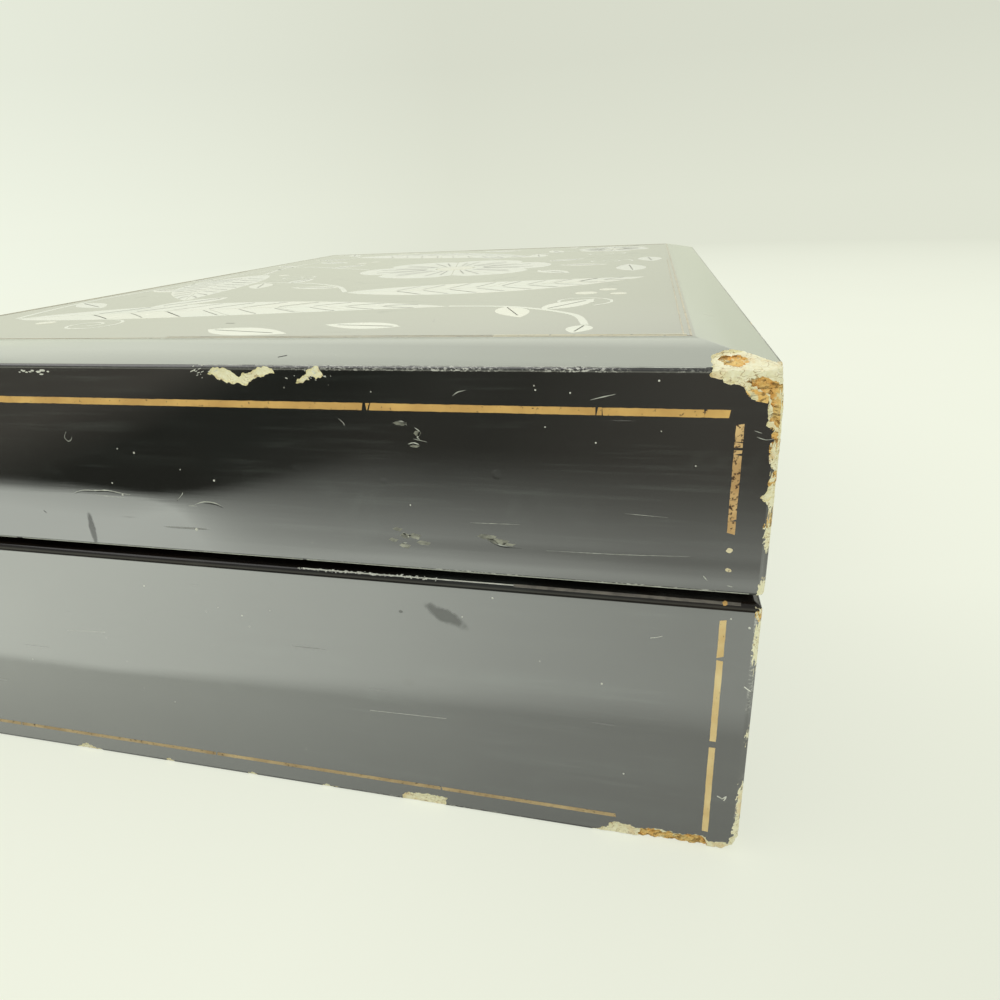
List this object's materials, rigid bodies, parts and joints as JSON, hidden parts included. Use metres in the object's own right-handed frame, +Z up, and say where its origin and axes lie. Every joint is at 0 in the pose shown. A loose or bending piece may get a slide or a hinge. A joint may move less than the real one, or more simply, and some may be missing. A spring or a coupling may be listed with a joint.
{
  "type": "lacquer jewelry box",
  "caption": "Black lacquered wooden box with a bevelled, shell-inlaid lid on rear hinges, a mirror inside the lid and a lift-out divided tray with ring rolls.",
  "frame": {"origin": "centre of the box on the surface it stands on", "axes": "+X along the box to its right end, front at -Y, hinges at +Y, +Z up"},
  "size_m": [0.286, 0.203, 0.095],
  "materials": {
    "black_lacquer": "black lacquer over wood, satin gloss, fine rubbing marks and small dents",
    "bare_wood": "bare softwood",
    "velvet": "dark red cotton velvet on board",
    "ribbon": "red satin ribbon",
    "felt": "dark green felt",
    "brass": "dulled brass",
    "mirror": "silvered plate glass",
    "shell": "polished mother-of-pearl with engraved lines"
  },
  "bodies": {
    "base": {"base_front": "black_lacquer", "base_rear": "black_lacquer", "base_left": "black_lacquer", "base_right": "black_lacquer", "base_bottom": "bare_wood", "base_felt": "felt", "liner_front": "velvet", "liner_rear": "velvet", "liner_left": "velvet", "liner_right": "velvet", "floor_pad": "velvet", "ledge_left": "velvet", "ledge_right": "velvet", "rest_pad_left": "felt", "rest_pad_right": "felt", "hinge_left_base_leaf": "brass", "hinge_left_pin": "brass", "hinge_right_base_leaf": "brass", "hinge_right_pin": "brass", "screw_left_base_1": "brass", "screw_left_base_2": "brass", "screw_right_base_1": "brass", "screw_right_base_2": "brass"},
    "lid": {"lid_front": "black_lacquer", "lid_rear": "black_lacquer", "lid_left": "black_lacquer", "lid_right": "black_lacquer", "lid_panel": "black_lacquer", "shell_leaf_long": "shell", "shell_leaf_broad": "shell", "shell_leaf_curled": "shell", "shell_leaf_rear": "shell", "shell_blossom_large": "shell", "shell_blossom_small": "shell", "mirror": "mirror", "mirror_moulding_front": "velvet", "mirror_moulding_rear": "velvet", "mirror_moulding_left": "velvet", "mirror_moulding_right": "velvet", "hinge_left_lid_leaf": "brass", "hinge_right_lid_leaf": "brass", "screw_left_lid_1": "brass", "screw_left_lid_2": "brass", "screw_right_lid_1": "brass", "screw_right_lid_2": "brass"},
    "tray": {"tray_floor": "velvet", "tray_front": "velvet", "tray_rear": "velvet", "tray_left": "velvet", "tray_right": "velvet", "divider_ring_side": "velvet", "divider_ring_front": "velvet", "divider_long": "velvet", "divider_short": "velvet", "ring_roll_1": "velvet", "ring_roll_2": "velvet", "ring_roll_3": "velvet", "ring_roll_4": "velvet", "pull_tab_front": "ribbon", "pull_tab_rear": "ribbon"}
  },
  "joints": [
    {"name": "lid_hinge", "type": "hinge", "parent": "base", "child": "lid", "pos_m": [0, 0.0997, 0.054], "axis": [-1, 0, 0], "range_deg": [0, 100]},
    {"name": "tray_lift", "type": "slide", "parent": "base", "child": "tray", "axis": [0, 0, 1], "range_m": [0, 0.025]}
  ]
}
